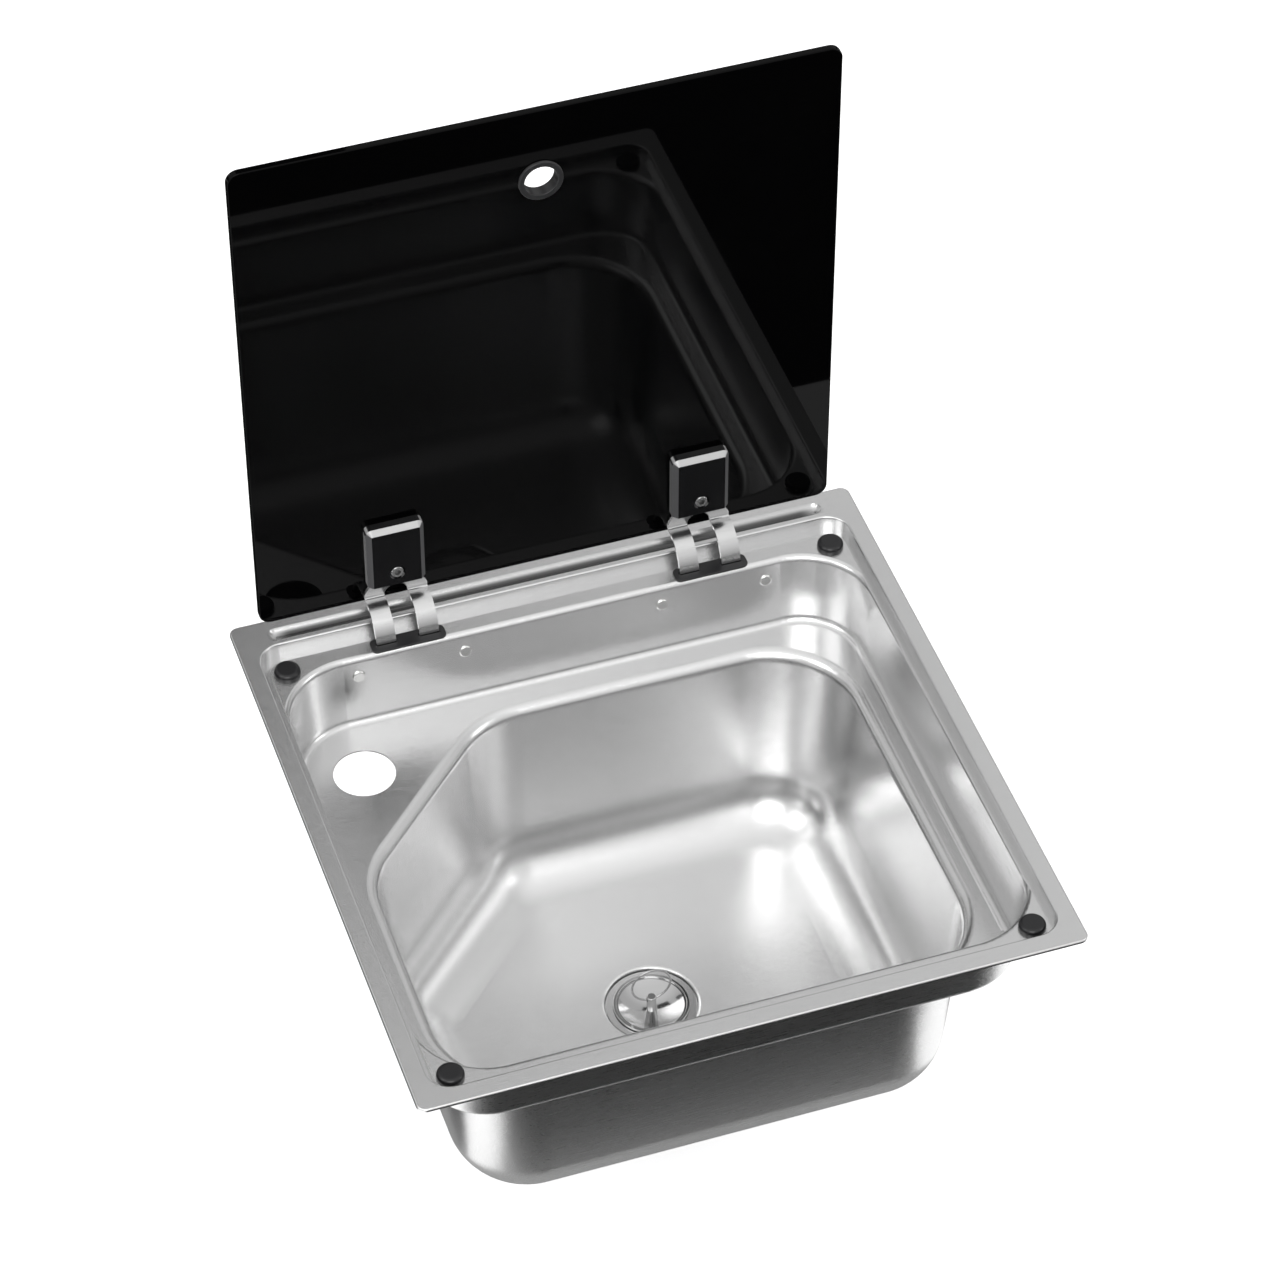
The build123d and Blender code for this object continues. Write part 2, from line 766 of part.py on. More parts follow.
with BuildPart() as pin_clips:
    with BuildSketch(*[Plane.YZ.offset(side * hinge_x + groove_x) for side in (-1, 1)]):
        with Locations((pivot_y, pivot_z)):
            Circle(clip_radius)
            Circle(groove_radius + running_fit, mode=Mode.SUBTRACT)
        with Locations((pivot_y, pivot_z - clip_radius)):
            Rectangle(2 * groove_radius, 2 * clip_radius, mode=Mode.SUBTRACT)
    extrude(amount=clip_thick)
save(pin_clips.part, "pin_clips")


def hinge_spacer(x):
    """Tube on the pin between the two arms."""
    with BuildPart() as spacer:
        with BuildSketch(Plane.YZ.offset(x)):
            with Locations((pivot_y, pivot_z)):
                Circle(knuckle_radius)
                Circle(pin_radius + running_fit, mode=Mode.SUBTRACT)
        extrude(amount=arm_slot / 2 - end_play, both=True)
    return spacer.part


with BuildPart() as hinge_washers:
    for side in (-1, 1):
        for end in (-1, 1):
            with BuildSketch(Plane.YZ.offset(side * hinge_x + end * (arm_span + end_play))):
                with Locations((pivot_y, pivot_z)):
                    Circle(knuckle_radius)
                    Circle(pin_radius + running_fit, mode=Mode.SUBTRACT)
            extrude(amount=end * washer_thick)
save(hinge_washers.part, "hinge_washers")

with BuildPart() as disc_springs:
    for side in (-1, 1):
        for end in (-1, 1):
            start = arm_span + 2 * end_play + washer_thick
            stop = ear_inside - end_play
            middle = side * hinge_x
            with BuildSketch(Plane.XZ.offset(-pivot_y)):
                with BuildLine():
                    Polyline(
                        (middle + end * start, pivot_z + pin_radius + clearance),
                        (middle + end * (start + spring_thick), pivot_z + pin_radius + clearance),
                        (middle + end * stop, pivot_z + knuckle_radius),
                        (middle + end * (stop - spring_thick), pivot_z + knuckle_radius),
                        close=True,
                    )
                make_face()
            revolve(axis=Axis((0, pivot_y, pivot_z), (1, 0, 0)))
save(disc_springs.part, "disc_springs")

grip = sheet * (cos(radians(upper_draft)) + sin(radians(upper_draft))) + bracket_thick

with BuildPart() as bracket_rivets:
    for place in rivet_places:
        with BuildSketch(place):
            Circle(rivet_radius)
        extrude(amount=grip)
        with BuildSketch(place):
            Circle(rivet_head_radius)
        extrude(amount=-rivet_head_height)
        with BuildSketch(place.offset(grip)):
            Circle(rivet_tail_radius)
        extrude(amount=rivet_tail_height)
    caps = bracket_rivets.faces().filter_by(lambda f: f.normal_at().dot(wall_normal) < -0.999)
    domes = caps.edges().filter_by(
        lambda e: abs(e.length - 2 * pi * rivet_head_radius) < 0.01
    )
    fillet(domes, radius=rivet_head_height * 0.8)
save(bracket_rivets.part, "bracket_rivets")


def slot_escutcheon(x):
    """Liner of one slot: a rounded plate on the ledge, with a skirt down into the slot."""
    front, back = slot_front - escutcheon_front, slot_back + escutcheon_back
    with BuildPart() as liner:
        with BuildSketch(Plane.XY.offset(ledge_z)):
            with Locations((x, (front + back) / 2)):
                width = 2 * (floor_slot_half + escutcheon_side)
                RectangleRounded(width, back - front, escutcheon_corner)
        extrude(amount=escutcheon_thick)
        fillet(liner.faces().sort_by(Axis.Z)[-1].edges(), radius=escutcheon_thick / 3)
        with BuildSketch(Plane.XY.offset(ledge_z)):
            with Locations((x, floor_slot_middle)):
                Rectangle(2 * (floor_slot_half - end_play), floor_slot_depth - 2 * end_play)
        extrude(amount=-sheet - slot_wall / 2)
        with BuildSketch(Plane.XY.offset(ledge_z)):
            offsets = (arm_slot + arm_width) / 2
            with Locations((x - offsets, floor_slot_middle), (x + offsets, floor_slot_middle)):
                Rectangle(arm_width + 2 * arm_play, slot_back - slot_front)
        extrude(amount=2 * slot_wall, both=True, mode=Mode.SUBTRACT)
    return liner.part


for side, x in (("left", -hinge_x), ("right", hinge_x)):
    save(hinge_leaf(x), f"hinge_leaf_{side}")
    save(hinge_cover(x), f"hinge_cover_{side}")
    save(clamp_plate(x, leaf_back, gasket_thick, boss_radius + boss_play), f"hinge_gasket_{side}")
    save(clamp_plate(x, glass_back, pad_thick, boss_radius + boss_play), f"hinge_pad_{side}")
    save(backplate(x), f"hinge_backplate_{side}")
    save(hinge_bracket(x), f"hinge_bracket_{side}")
    save(hinge_pin(x), f"hinge_pin_{side}")
    save(hinge_spacer(x), f"hinge_spacer_{side}")
    save(slot_escutcheon(x), f"slot_escutcheon_{side}")

# ---------------------------------------------------------------- waste
waste_axis = Axis((0, waste_y, 0), (0, 0, 1))
flange_top = waste_floor_z + seal_thick + flange_thick
throat_radius = waste_hole_radius - clearance
throat_inner = throat_radius - flange_thick
throat_floor = flange_top - throat_depth
body_top = waste_floor_z - sheet - lower_seal_thick
body_low = body_top - body_depth
outlet_low = body_low - outlet_length


def ring(plane_z, outer, inner, height):
    """A flat ring on the waste's axis, from plane_z up."""
    with BuildPart() as band:
        with BuildSketch(Plane.XY.offset(plane_z)):
            with Locations((0, waste_y)):
                Circle(outer)
                Circle(inner, mode=Mode.SUBTRACT)
        extrude(amount=height)
    return band.part


save(ring(waste_floor_z, flange_radius, waste_hole_radius + clearance, seal_thick), "waste_upper_seal")
save(ring(body_top, flange_radius, waste_hole_radius + clearance, lower_seal_thick), "waste_lower_seal")

with BuildPart() as waste_flange:
    add(ring(waste_floor_z + seal_thick, flange_radius, throat_inner, flange_thick))
    add(ring(throat_floor, throat_radius, throat_inner, throat_depth))
    add(ring(throat_floor, throat_radius, waste_screw_radius + clearance, strainer_thick))
    fillet(
        edges_at(waste_flange, flange_top, throat_inner, -above * 3, above * 3),
        radius=flange_thick * 0.6,
    )
    with Locations((0, waste_y, throat_floor)):
        with PolarLocations(drain_hole_ring, 12):
            Cylinder(drain_hole_radius, 4 * strainer_thick, mode=Mode.SUBTRACT)
save(waste_flange.part, "waste_flange")

boss_top = throat_floor - clearance

with BuildPart() as waste_body:
    add(ring(body_top - body_wall, body_flange_radius, throat_radius + clearance, body_wall))
    add(ring(body_low, throat_radius + clearance + body_wall, throat_radius + clearance, body_depth))
    add(ring(body_low, throat_radius + body_wall, outlet_bore, body_wall))
    add(ring(outlet_low, outlet_radius, outlet_bore, outlet_length))
    with Locations((0, waste_y, boss_top)):
        spoke = 2 * (throat_radius + clearance) + body_wall
        Box(spoke, spoke_width, boss_depth / 2, align=(Align.CENTER, Align.CENTER, Align.MAX))
        Box(spoke_width, spoke, boss_depth / 2, align=(Align.CENTER, Align.CENTER, Align.MAX))
    add(ring(boss_top - boss_depth, boss_outer, waste_screw_radius / 2, boss_depth))
    with Locations((0, waste_y, boss_top - boss_depth / 2)):
        Cylinder(waste_screw_radius + running_fit, 2 * boss_depth, mode=Mode.SUBTRACT)
save(waste_body.part, "waste_body")

with BuildPart() as waste_screw:
    cap_z = throat_floor + strainer_thick
    with Locations((0, waste_y, cap_z)):
        Cylinder(screw_cap_radius, screw_cap_height, align=(Align.CENTER, Align.CENTER, Align.MIN))
        Cylinder(waste_screw_radius, waste_screw_length, align=(Align.CENTER, Align.CENTER, Align.MAX))
    fillet(waste_screw.faces().sort_by(Axis.Z)[-1].edges(), radius=screw_cap_height / 3)
    with Locations((0, waste_y, cap_z + screw_cap_height)):
        Box(3 * screw_cap_radius, screw_slot, screw_cap_height, mode=Mode.SUBTRACT)
save(waste_screw.part, "waste_screw")

tail_top = outlet_low - tail_washer_thick
tail_low = tail_top - tail_flange_thick - tail_length
tail_flange_radius = outlet_radius - 2 * clearance
save(ring(tail_top, tail_flange_radius, tail_bore, tail_washer_thick), "tail_washer")

with BuildPart() as waste_tail:
    add(ring(tail_top - tail_flange_thick, tail_flange_radius, tail_bore, tail_flange_thick))
    add(ring(tail_low + tail_length - tail_neck, tail_radius - clearance, tail_bore, tail_neck))
    add(ring(tail_low, tail_radius, tail_bore, tail_length - tail_neck))
    end = edges_at(waste_tail, tail_low, tail_radius, -above * 3, above * 3).sort_by(Edge.length)[-1]
    chamfer(end, length=(tail_radius - tail_bore) / 2)
save(waste_tail.part, "waste_tail")

with BuildPart() as tail_nut:
    nut_low = tail_top - tail_flange_thick - nut_floor
    with BuildSketch(Plane.XY.offset(nut_low)):
        with Locations((0, waste_y)):
            Circle(nut_radius)
            with PolarLocations(nut_radius, 12):
                Circle(nut_floor / 2, mode=Mode.SUBTRACT)
    extrude(amount=nut_height)
    with Locations((0, waste_y, nut_low + nut_floor)):
        Cylinder(
            outlet_radius + running_fit,
            nut_height,
            align=(Align.CENTER, Align.CENTER, Align.MIN),
            mode=Mode.SUBTRACT,
        )
        Cylinder(tail_radius + clearance, 4 * nut_height, mode=Mode.SUBTRACT)
save(tail_nut.part, "tail_nut")

# ---------------------------------------------------------------- plug
rim_low = flange_top + plug_seal_thick
plug_top = rim_low + plug_rim_height
dish_edge_z = plug_top - dish_step
dish_low = dish_edge_z - dish_depth
dish_sphere = (dish_radius**2 + dish_depth**2) / (2 * dish_depth)
post_top = dish_low + post_height
seal_inner = dish_radius + clearance / 2

with BuildPart() as plug_dish:
    with BuildSketch(Plane.XZ.offset(-waste_y)):
        with BuildLine():
            top = Polyline(
                (post_radius, dish_low + post_radius**2 / (2 * dish_sphere)),
                (post_radius, dish_low - plug_sheet),
            )
            under = RadiusArc(
                top @ 1, (dish_radius, dish_edge_z - plug_sheet), -dish_sphere - plug_sheet
            )
            side = Polyline(
                under @ 1,
                (dish_radius, rim_low),
                (plug_radius, rim_low),
                (plug_radius, plug_top),
                (plug_radius - plug_rim_width, plug_top),
                (plug_radius - plug_rim_width, dish_edge_z),
                (dish_radius, dish_edge_z),
            )
            RadiusArc(top @ 0, side @ 1, -dish_sphere)
        make_face()
    revolve(axis=waste_axis)
    crown = edges_at(plug_dish, plug_top, plug_radius, -above * 3, above * 3)
    fillet(crown, radius=plug_rim_height / 3)
save(plug_dish.part, "plug_dish")

with BuildPart() as plug_seal:
    add(ring(flange_top, plug_radius - clearance, seal_inner, plug_seal_thick))
    add(ring(flange_top - plug_seal_drop, seal_inner + plug_seal_lip, seal_inner, plug_seal_drop))
save(plug_seal.part, "plug_seal")

with BuildPart() as plug_post:
    with Locations((0, waste_y, dish_low - plug_sheet)):
        Cylinder(
            post_radius - running_fit,
            post_top - dish_low + plug_sheet,
            align=(Align.CENTER, Align.CENTER, Align.MIN),
        )
        Cylinder(post_foot_radius, post_foot_thick, align=(Align.CENTER, Align.CENTER, Align.MAX))
    fillet(plug_post.faces().sort_by(Axis.Z)[-1].edges(), radius=ring_wire)
    with Locations((0, waste_y, post_top - post_hole_drop)):
        Cylinder(post_hole_radius, 4 * post_radius, rotation=(0, 90, 0), mode=Mode.SUBTRACT)
save(plug_post.part, "plug_post")

with BuildPart() as plug_ring:
    lean = radians(ring_lean)
    hub = (
        0,
        waste_y + ring_radius * sin(lean),
        post_top - post_hole_drop + ring_radius * cos(lean),
    )
    with Locations(Plane(origin=hub, x_dir=(1, 0, 0), z_dir=(0, -cos(lean), sin(lean)))):
        Torus(ring_radius, ring_wire)
save(plug_ring.part, "plug_ring")
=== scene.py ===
"""Finishes and studio for a drop-in camper sink with a glass lid.

Metres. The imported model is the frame: +X right, +Y back (the hinge side), +Z up, with the
origin in the middle of the rim on the worktop's plane.
"""

import math

import bpy
from bpy.props import FloatProperty, FloatVectorProperty, PointerProperty
from bpy.types import Operator, Panel, PropertyGroup
from mathutils import Matrix, Vector


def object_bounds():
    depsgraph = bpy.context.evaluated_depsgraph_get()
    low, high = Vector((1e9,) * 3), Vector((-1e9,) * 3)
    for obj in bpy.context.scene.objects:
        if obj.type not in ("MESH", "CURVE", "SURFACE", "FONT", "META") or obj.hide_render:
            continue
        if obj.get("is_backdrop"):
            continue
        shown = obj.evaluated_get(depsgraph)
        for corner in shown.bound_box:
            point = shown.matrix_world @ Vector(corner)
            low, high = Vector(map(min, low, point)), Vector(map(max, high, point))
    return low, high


bl_info = {
    "name": "Camper sink with glass lid",
    "version": (1, 0, 0),
    "blender": (4, 5, 0),
    "location": "3D View > Sidebar > Sink",
    "description": "Finishes of the sink's pieces, and the studio it stands in",
    "category": "Object",
}

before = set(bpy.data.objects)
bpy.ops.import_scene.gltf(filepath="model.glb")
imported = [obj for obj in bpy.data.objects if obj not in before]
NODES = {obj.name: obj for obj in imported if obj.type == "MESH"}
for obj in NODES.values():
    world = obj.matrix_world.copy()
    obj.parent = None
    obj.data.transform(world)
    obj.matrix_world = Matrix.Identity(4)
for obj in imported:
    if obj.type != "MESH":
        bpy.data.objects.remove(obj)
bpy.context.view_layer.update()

WHITE = (1.0, 1.0, 1.0, 1.0)

# Grain of the sheets, in cycles per metre along X, Y and Z: the lines run along X.
PRESSING_GRAIN = (60.0, 2600.0, 2600.0)
LEAF_GRAIN = (90.0, 1500.0, 1500.0)
STEEL_RELIEF = 0.000002
BRIGHTNESS_PER_ROUGHNESS = -0.9
RELIEF_ON_SIDES = 0.15

# Painted reflection of the black lid, a dark band along the front of the trough: where it fades in
# and out in Y, and out in X.
TROUGH_FADE_IN = (0.1900, 0.1915)
TROUGH_FADE_OUT = (0.1975, 0.2018)
TROUGH_ENDS = (0.172, 0.190)
TROUGH_PAINTED_REFLECTION_SHARE = 0.9
TROUGH_PAINTED_REFLECTION = (0.05, 0.05, 0.05, 1.0)

DUST_COLOUR = (0.35, 0.34, 0.32, 1.0)
GLOSS_SPREAD = 0.12
MOULDING_RELIEF_STRENGTH = 0.3

# Hinge covers: a smooth black face, grey grained bevels, and a brighter bevel on top.
COVER_FACE = (0.004, 0.004, 0.0045, 1.0)
COVER_BEVEL = (0.085, 0.085, 0.088, 1.0)
COVER_TOP_BEVEL = (0.5, 0.5, 0.5, 1.0)
COVER_TOP_METALLIC = 0.6
COVER_FACE_ROUGHNESS = 0.12
COVER_BEVEL_ROUGHNESS = 0.42
COVER_INDEX = 1.2

# Lid: clean glass, and the smears on it.
GLASS_ROUGHNESS = 0.02
SMEAR_ROUGHNESS = 0.05
SMEAR_COLOUR = (0.0012, 0.0012, 0.0013, 1.0)

# The camera's own directions, as solved for the reference view.
CAMERA_RIGHT = (0.94732, -0.32028, 0.00057)
CAMERA_DOWN = (-0.22512, -0.66714, -0.71011)
CAMERA_FORWARD = (0.22782, 0.67257, -0.70409)

FLOOR_SIZE = (24.0, 24.0)
FLOOR_COLOUR = (0.8, 0.8, 0.8, 1.0)
FLOOR_GLOW = 0.62

# Dark cards on the floor: name, centre in X and Y, width and depth, shade.
CARD_LIFT = 0.001
CARDS = (
    ("front_card", (0.45, -1.42), (1.5, 2.4), 0.02),
    ("left_card", (-1.22, 0.92), (2.0, 2.0), 0.02),
    ("right_card", (1.22, 0.96), (2.0, 2.0), 0.05),
    ("under_card", (0.0, 0.39), (0.43, 1.22), 0.45),
)

# Dark upright boards behind the sink: name, centre, width and height, shade.
FLAGS = (
    ("back_flag", (-0.04, 2.0, 1.25), (0.76, 2.8), 0.05),
    ("middle_flag", (0.73, 1.99, 2.42), (0.44, 0.56), 0.25),
    ("low_flag", (0.0, 2.3, 0.2), (8.0, 0.9), 0.03),
)

# Studio walls: shade at the horizon, what is added overhead, and the gain in front of the sink.
HORIZON_SHADE = 0.55
OVERHEAD_EXTRA = 0.45
FRONT_GAIN = 1.3


# ---------------------------------------------------------------- node helpers
class Tree:
    """A node tree being written: adds nodes, sets their values and joins them."""

    def __init__(self, tree):
        self.tree = tree

    def add(self, kind, values=None, **settings):
        node = self.tree.nodes.new(kind)
        for name, value in settings.items():
            setattr(node, name, value)
        for key, value in (values or {}).items():
            self.feed(node.inputs[key], value)
        return node

    def feed(self, socket, value):
        if isinstance(value, bpy.types.NodeSocket):
            self.tree.links.new(value, socket)
        else:
            socket.default_value = value

    def math(self, operation, a, b=None, clamp=False):
        values = {i: v for i, v in enumerate((a, b)) if v is not None}
        return self.add("ShaderNodeMath", values, operation=operation, use_clamp=clamp).outputs[0]

    def vector(self, operation, a, b=None, output=0):
        values = {i: v for i, v in enumerate((a, b)) if v is not None}
        return self.add("ShaderNodeVectorMath", values, operation=operation).outputs[output]

    def scale(self, vector, amount):
        values = {0: vector, "Scale": amount}
        return self.add("ShaderNodeVectorMath", values, operation="SCALE").outputs[0]

    def split(self, vector):
        """The X, Y and Z of a vector, by name."""
        return self.add("ShaderNodeSeparateXYZ", {0: vector}).outputs

    def place(self):
        """The position in the object's own axes."""
        return self.add("ShaderNodeTexCoord").outputs["Object"]

    def face_normal(self):
        """The direction that a face looks in, without smoothing or relief."""
        return self.add("ShaderNodeNewGeometry").outputs["True Normal"]

    def noise(self, vector, scale, detail, roughness):
        values = {"Vector": vector, "Scale": scale, "Detail": detail, "Roughness": roughness}
        return self.add("ShaderNodeTexNoise", values).outputs["Fac"]

    def remap(self, value, low, high, to_low=0.0, to_high=1.0):
        values = {
            "Value": value,
            "From Min": low,
            "From Max": high,
            "To Min": to_low,
            "To Max": to_high,
        }
        node = self.add("ShaderNodeMapRange", values, interpolation_type="SMOOTHSTEP")
        return node.outputs["Result"]

    def mix_colour(self, share, a, b):
        """A blend of two colours; 6, 7 and 2 are the Mix node's colour sockets."""
        return self.add("ShaderNodeMix", {0: share, 6: a, 7: b}, data_type="RGBA").outputs[2]

    def mix_value(self, share, a, b):
        """A blend of two values; 2, 3 and 0 are the Mix node's value sockets."""
        return self.add("ShaderNodeMix", {0: share, 2: a, 3: b}, data_type="FLOAT").outputs[0]


def new_group(name, inputs, outputs):
    """A shader node group with named sockets, its tree, and the sockets given and returned."""
    group = bpy.data.node_groups.new(name, "ShaderNodeTree")
    for label, kind, default in inputs:
        socket = group.interface.new_socket(label, in_out="INPUT", socket_type=kind)
        if default is not None:
            socket.default_value = default
    for label, kind in outputs:
        group.interface.new_socket(label, in_out="OUTPUT", socket_type=kind)
    tree = Tree(group)
    return group, tree, tree.add("NodeGroupInput").outputs, tree.add("NodeGroupOutput").inputs


def sheet_grain_group():
    """Brushed sheet: fine lines along one direction, and slow cloudy changes of polish."""
    inputs = [
        ("Colour", "NodeSocketColor", (0.6, 0.6, 0.6, 1.0)),
        ("Polish", "NodeSocketFloat", 0.25),
        ("Line stretch", "NodeSocketVector", PRESSING_GRAIN),
        ("Line strength", "NodeSocketFloat", 0.05),
        ("Cloud size", "NodeSocketFloat", 9.0),
        ("Cloud strength", "NodeSocketFloat", 0.04),
    ]
    outputs = [
        ("Colour", "NodeSocketColor"),
        ("Roughness", "NodeSocketFloat"),
        ("Height", "NodeSocketFloat"),
    ]
    group, tree, given, result = new_group("Sheet grain", inputs, outputs)
    place = tree.place()
    stretched = tree.vector("MULTIPLY", place, given["Line stretch"])
    lines = tree.noise(stretched, scale=1.0, detail=3.0, roughness=0.7)
    clouds = tree.noise(place, given["Cloud size"], detail=3.0, roughness=0.55)
    line_part = tree.math("MULTIPLY", tree.math("SUBTRACT", lines, 0.5), given["Line strength"])
    cloud_part = tree.math("MULTIPLY", tree.math("SUBTRACT", clouds, 0.5), given["Cloud strength"])
    shift = tree.math("ADD", line_part, cloud_part)
    tree.feed(result["Roughness"], tree.math("ADD", given["Polish"], shift, clamp=True))
    # Rougher spots are darker.
    brightness = tree.math("ADD", 1.0, tree.math("MULTIPLY", shift, BRIGHTNESS_PER_ROUGHNESS))
    tree.feed(result["Colour"], tree.scale(given["Colour"], brightness))
    tree.feed(result["Height"], lines)
    return group


def outward_mask_group():
    """1 on faces that look away from the vertical axis, 0 on faces that look towards it."""
    group, tree, given, result = new_group(
        "Outward faces", [("Sharpness", "NodeSocketFloat", 0.3)], [("Mask", "NodeSocketFloat")]
    )
    outward = tree.vector("NORMALIZE", tree.vector("MULTIPLY", tree.place(), (1.0, 1.0, 0.0)))
    facing = tree.vector("DOT_PRODUCT", outward, tree.face_normal(), output="Value")
    tree.feed(result["Mask"], tree.remap(facing, 0.0, given["Sharpness"]))
    return group


def moulding_group():
    """Moulded plastic or rubber: fine pits, and slow changes of gloss."""
    inputs = [
        ("Colour", "NodeSocketColor", (0.02, 0.02, 0.02, 1.0)),
        ("Gloss roughness", "NodeSocketFloat", 0.4),
        ("Grain size", "NodeSocketFloat", 2500.0),
        ("Dust", "NodeSocketFloat", 0.03),
    ]
    outputs = [
        ("Colour", "NodeSocketColor"),
        ("Roughness", "NodeSocketFloat"),
        ("Height", "NodeSocketFloat"),
    ]
    group, tree, given, result = new_group("Moulded surface", inputs, outputs)
    place = tree.place()
    pits = tree.noise(place, given["Grain size"], detail=2.0, roughness=0.6)
    clouds = tree.noise(place, scale=70.0, detail=3.0, roughness=0.6)
    normal = tree.split(tree.add("ShaderNodeNewGeometry").outputs["Normal"])
    settled = tree.math("MULTIPLY", tree.remap(normal["Z"], 0.2, 0.9), given["Dust"])
    dusty = tree.math("MULTIPLY", settled, tree.remap(clouds, 0.35, 0.75))
    tree.feed(result["Colour"], tree.mix_colour(dusty, given["Colour"], DUST_COLOUR))
    uneven = tree.math("MULTIPLY", tree.math("SUBTRACT", clouds, 0.5), GLOSS_SPREAD)
    tree.feed(result["Roughness"], tree.math("ADD", given["Gloss roughness"], uneven, clamp=True))
    tree.feed(result["Height"], pits)
    return group


def painted_lid_reflection_mask_group():
    """1 along the front of the trough at the lid's foot, where the black lid's reflection is
    painted into the steel.
    """
    group, tree, _, result = new_group("Trough", [], [("Mask", "NodeSocketFloat")])
    place = tree.split(tree.place())
    front = tree.remap(place["Y"], *TROUGH_FADE_IN)
    back = tree.remap(place["Y"], *TROUGH_FADE_OUT, 1.0, 0.0)
    ends = tree.remap(tree.math("ABSOLUTE", place["X"]), *TROUGH_ENDS, 1.0, 0.0)
    tree.feed(result["Mask"], tree.math("MULTIPLY", tree.math("MULTIPLY", front, back), ends))
    return group


GROUPS = {}


def group_node(tree, maker, values=None):
    """One of the shared effects, made once, placed in a material with its own values."""
    if maker not in GROUPS:
        GROUPS[maker] = maker()
    return tree.add("ShaderNodeGroup", values, node_tree=GROUPS[maker])


def new_material(name):
    """A material with a Principled shader, its tree and that shader."""
    material = bpy.data.materials.new(name)
    material.use_nodes = True
    tree = Tree(material.node_tree)
    shader = next(n for n in material.node_tree.nodes if n.type == "BSDF_PRINCIPLED")
    return material, tree, shader


def bump(tree, shader, height, strength, distance):
    """Relief from a height that changes over the surface."""
    values = {"Height": height, "Strength": strength, "Distance": distance}
    tree.feed(shader.inputs["Normal"], tree.add("ShaderNodeBump", values).outputs["Normal"])


def rgba(colour):
    return (colour[0], colour[1], colour[2], 1.0)


def even(frequency):
    """A grain that is the same in every direction."""
    return (frequency, frequency, frequency)


def steel(
    name,
    colour,
    polish,
    grain,
    lines,
    cloud=0.04,
    relief=STEEL_RELIEF,
    outside=None,
    trough=False,
):
    """Metal with a grain; outside is the polish and line strength of faces that look outwards."""
    material, tree, shader = new_material(name)
    if outside:
        mask = group_node(tree, outward_mask_group).outputs["Mask"]
        polish = tree.mix_value(mask, polish, outside[0])
        lines = tree.mix_value(mask, lines, outside[1])
    sheet = group_node(
        tree,
        sheet_grain_group,
        {
            "Colour": rgba(colour),
            "Polish": polish,
            "Line stretch": grain,
            "Line strength": lines,
            "Cloud strength": cloud,
        },
    )
    sheet_colour = sheet.outputs["Colour"]
    # Painted reflection: the black lid's dark mirror image along the trough goes into the base
    # colour.
    if trough:
        mask = group_node(tree, painted_lid_reflection_mask_group).outputs["Mask"]
        share = tree.math("MULTIPLY", mask, TROUGH_PAINTED_REFLECTION_SHARE)
        sheet_colour = tree.mix_colour(share, sheet_colour, TROUGH_PAINTED_REFLECTION)
    tree.feed(shader.inputs["Base Color"], sheet_colour)
    tree.feed(shader.inputs["Roughness"], sheet.outputs["Roughness"])
    tree.feed(shader.inputs["Metallic"], 1.0)
    # The relief is weaker on faces that look along X, which the lines end on.
    turned = tree.math("ABSOLUTE", tree.split(tree.face_normal())["X"])
    share = tree.remap(turned, 0.2, 0.7, 1.0, RELIEF_ON_SIDES)
    bump(tree, shader, tree.math("MULTIPLY", sheet.outputs["Height"], share), 1.0, relief)
    return material


def moulding(name, colour, roughness, grain=2500.0, dust=0.03, relief=0.00002):
    """Plastic or rubber."""
    material, tree, shader = new_material(name)
    surface = group_node(
        tree,
        moulding_group,
        {
            "Colour": rgba(colour),
            "Gloss roughness": roughness,
            "Grain size": grain,
            "Dust": dust,
        },
    )
    tree.feed(shader.inputs["Base Color"], surface.outputs["Colour"])
    tree.feed(shader.inputs["Roughness"], surface.outputs["Roughness"])
    bump(tree, shader, surface.outputs["Height"], MOULDING_RELIEF_STRENGTH, relief)
    return material


def dress(material, *names):
    """Gives a material to CAD nodes."""
    for name in names:
        mesh = NODES[name].data
        mesh.materials.clear()
        mesh.materials.append(material)


def both(*names):
    """The left and right node of each name."""
    return [f"{name}_{side}" for name in names for side in ("left", "right")]


# ---------------------------------------------------------------- settings
class SinkFinish(PropertyGroup):
    """Finish of the steel pieces."""

    bowl_colour: FloatVectorProperty(
        name="Bowl steel",
        description="Reflected colour of the pressed sheet",
        default=(0.72, 0.72, 0.72),
        subtype="COLOR",
        size=3,
        min=0.0,
        max=1.0,
    )
    bowl_polish: FloatProperty(
        name="Bowl roughness",
        description="Roughness of the sheet inside the bowl and on the rim",
        default=0.24,
        min=0.0,
        max=1.0,
        subtype="FACTOR",
    )
    outside_polish: FloatProperty(
        name="Outside roughness",
        description="Roughness of the sheet outside the bowl",
        default=0.3,
        min=0.0,
        max=1.0,
        subtype="FACTOR",
    )
    sheet_relief: FloatProperty(
        name="Grain depth",
        description="Depth of the sheet's grain, which spreads its reflections across the lines",
        default=0.00006,
        min=0.0,
        unit="LENGTH",
        precision=6,
    )
    hinge_colour: FloatVectorProperty(
        name="Hinge steel",
        description="Reflected colour of the hinge leaves",
        default=(0.62, 0.62, 0.62),
        subtype="COLOR",
        size=3,
        min=0.0,
        max=1.0,
    )


class LidFinish(PropertyGroup):
    """Finish of the lid and its black pieces."""

    glass_colour: FloatVectorProperty(
        name="Glass",
        description="Colour of the black glass",
        default=(0.0008, 0.0008, 0.0009),
        subtype="COLOR",
        size=3,
        min=0.0,
        max=1.0,
    )
    glass_index: FloatProperty(
        name="Glass index",
        description="Index of refraction of the glass, which sets how strongly it mirrors",
        default=1.18,
        min=1.0,
        max=3.0,
    )
    plastic_colour: FloatVectorProperty(
        name="Black plastic",
        description="Colour of the hinge covers and liners",
        default=(0.012, 0.012, 0.013),
        subtype="COLOR",
        size=3,
        min=0.0,
        max=1.0,
    )


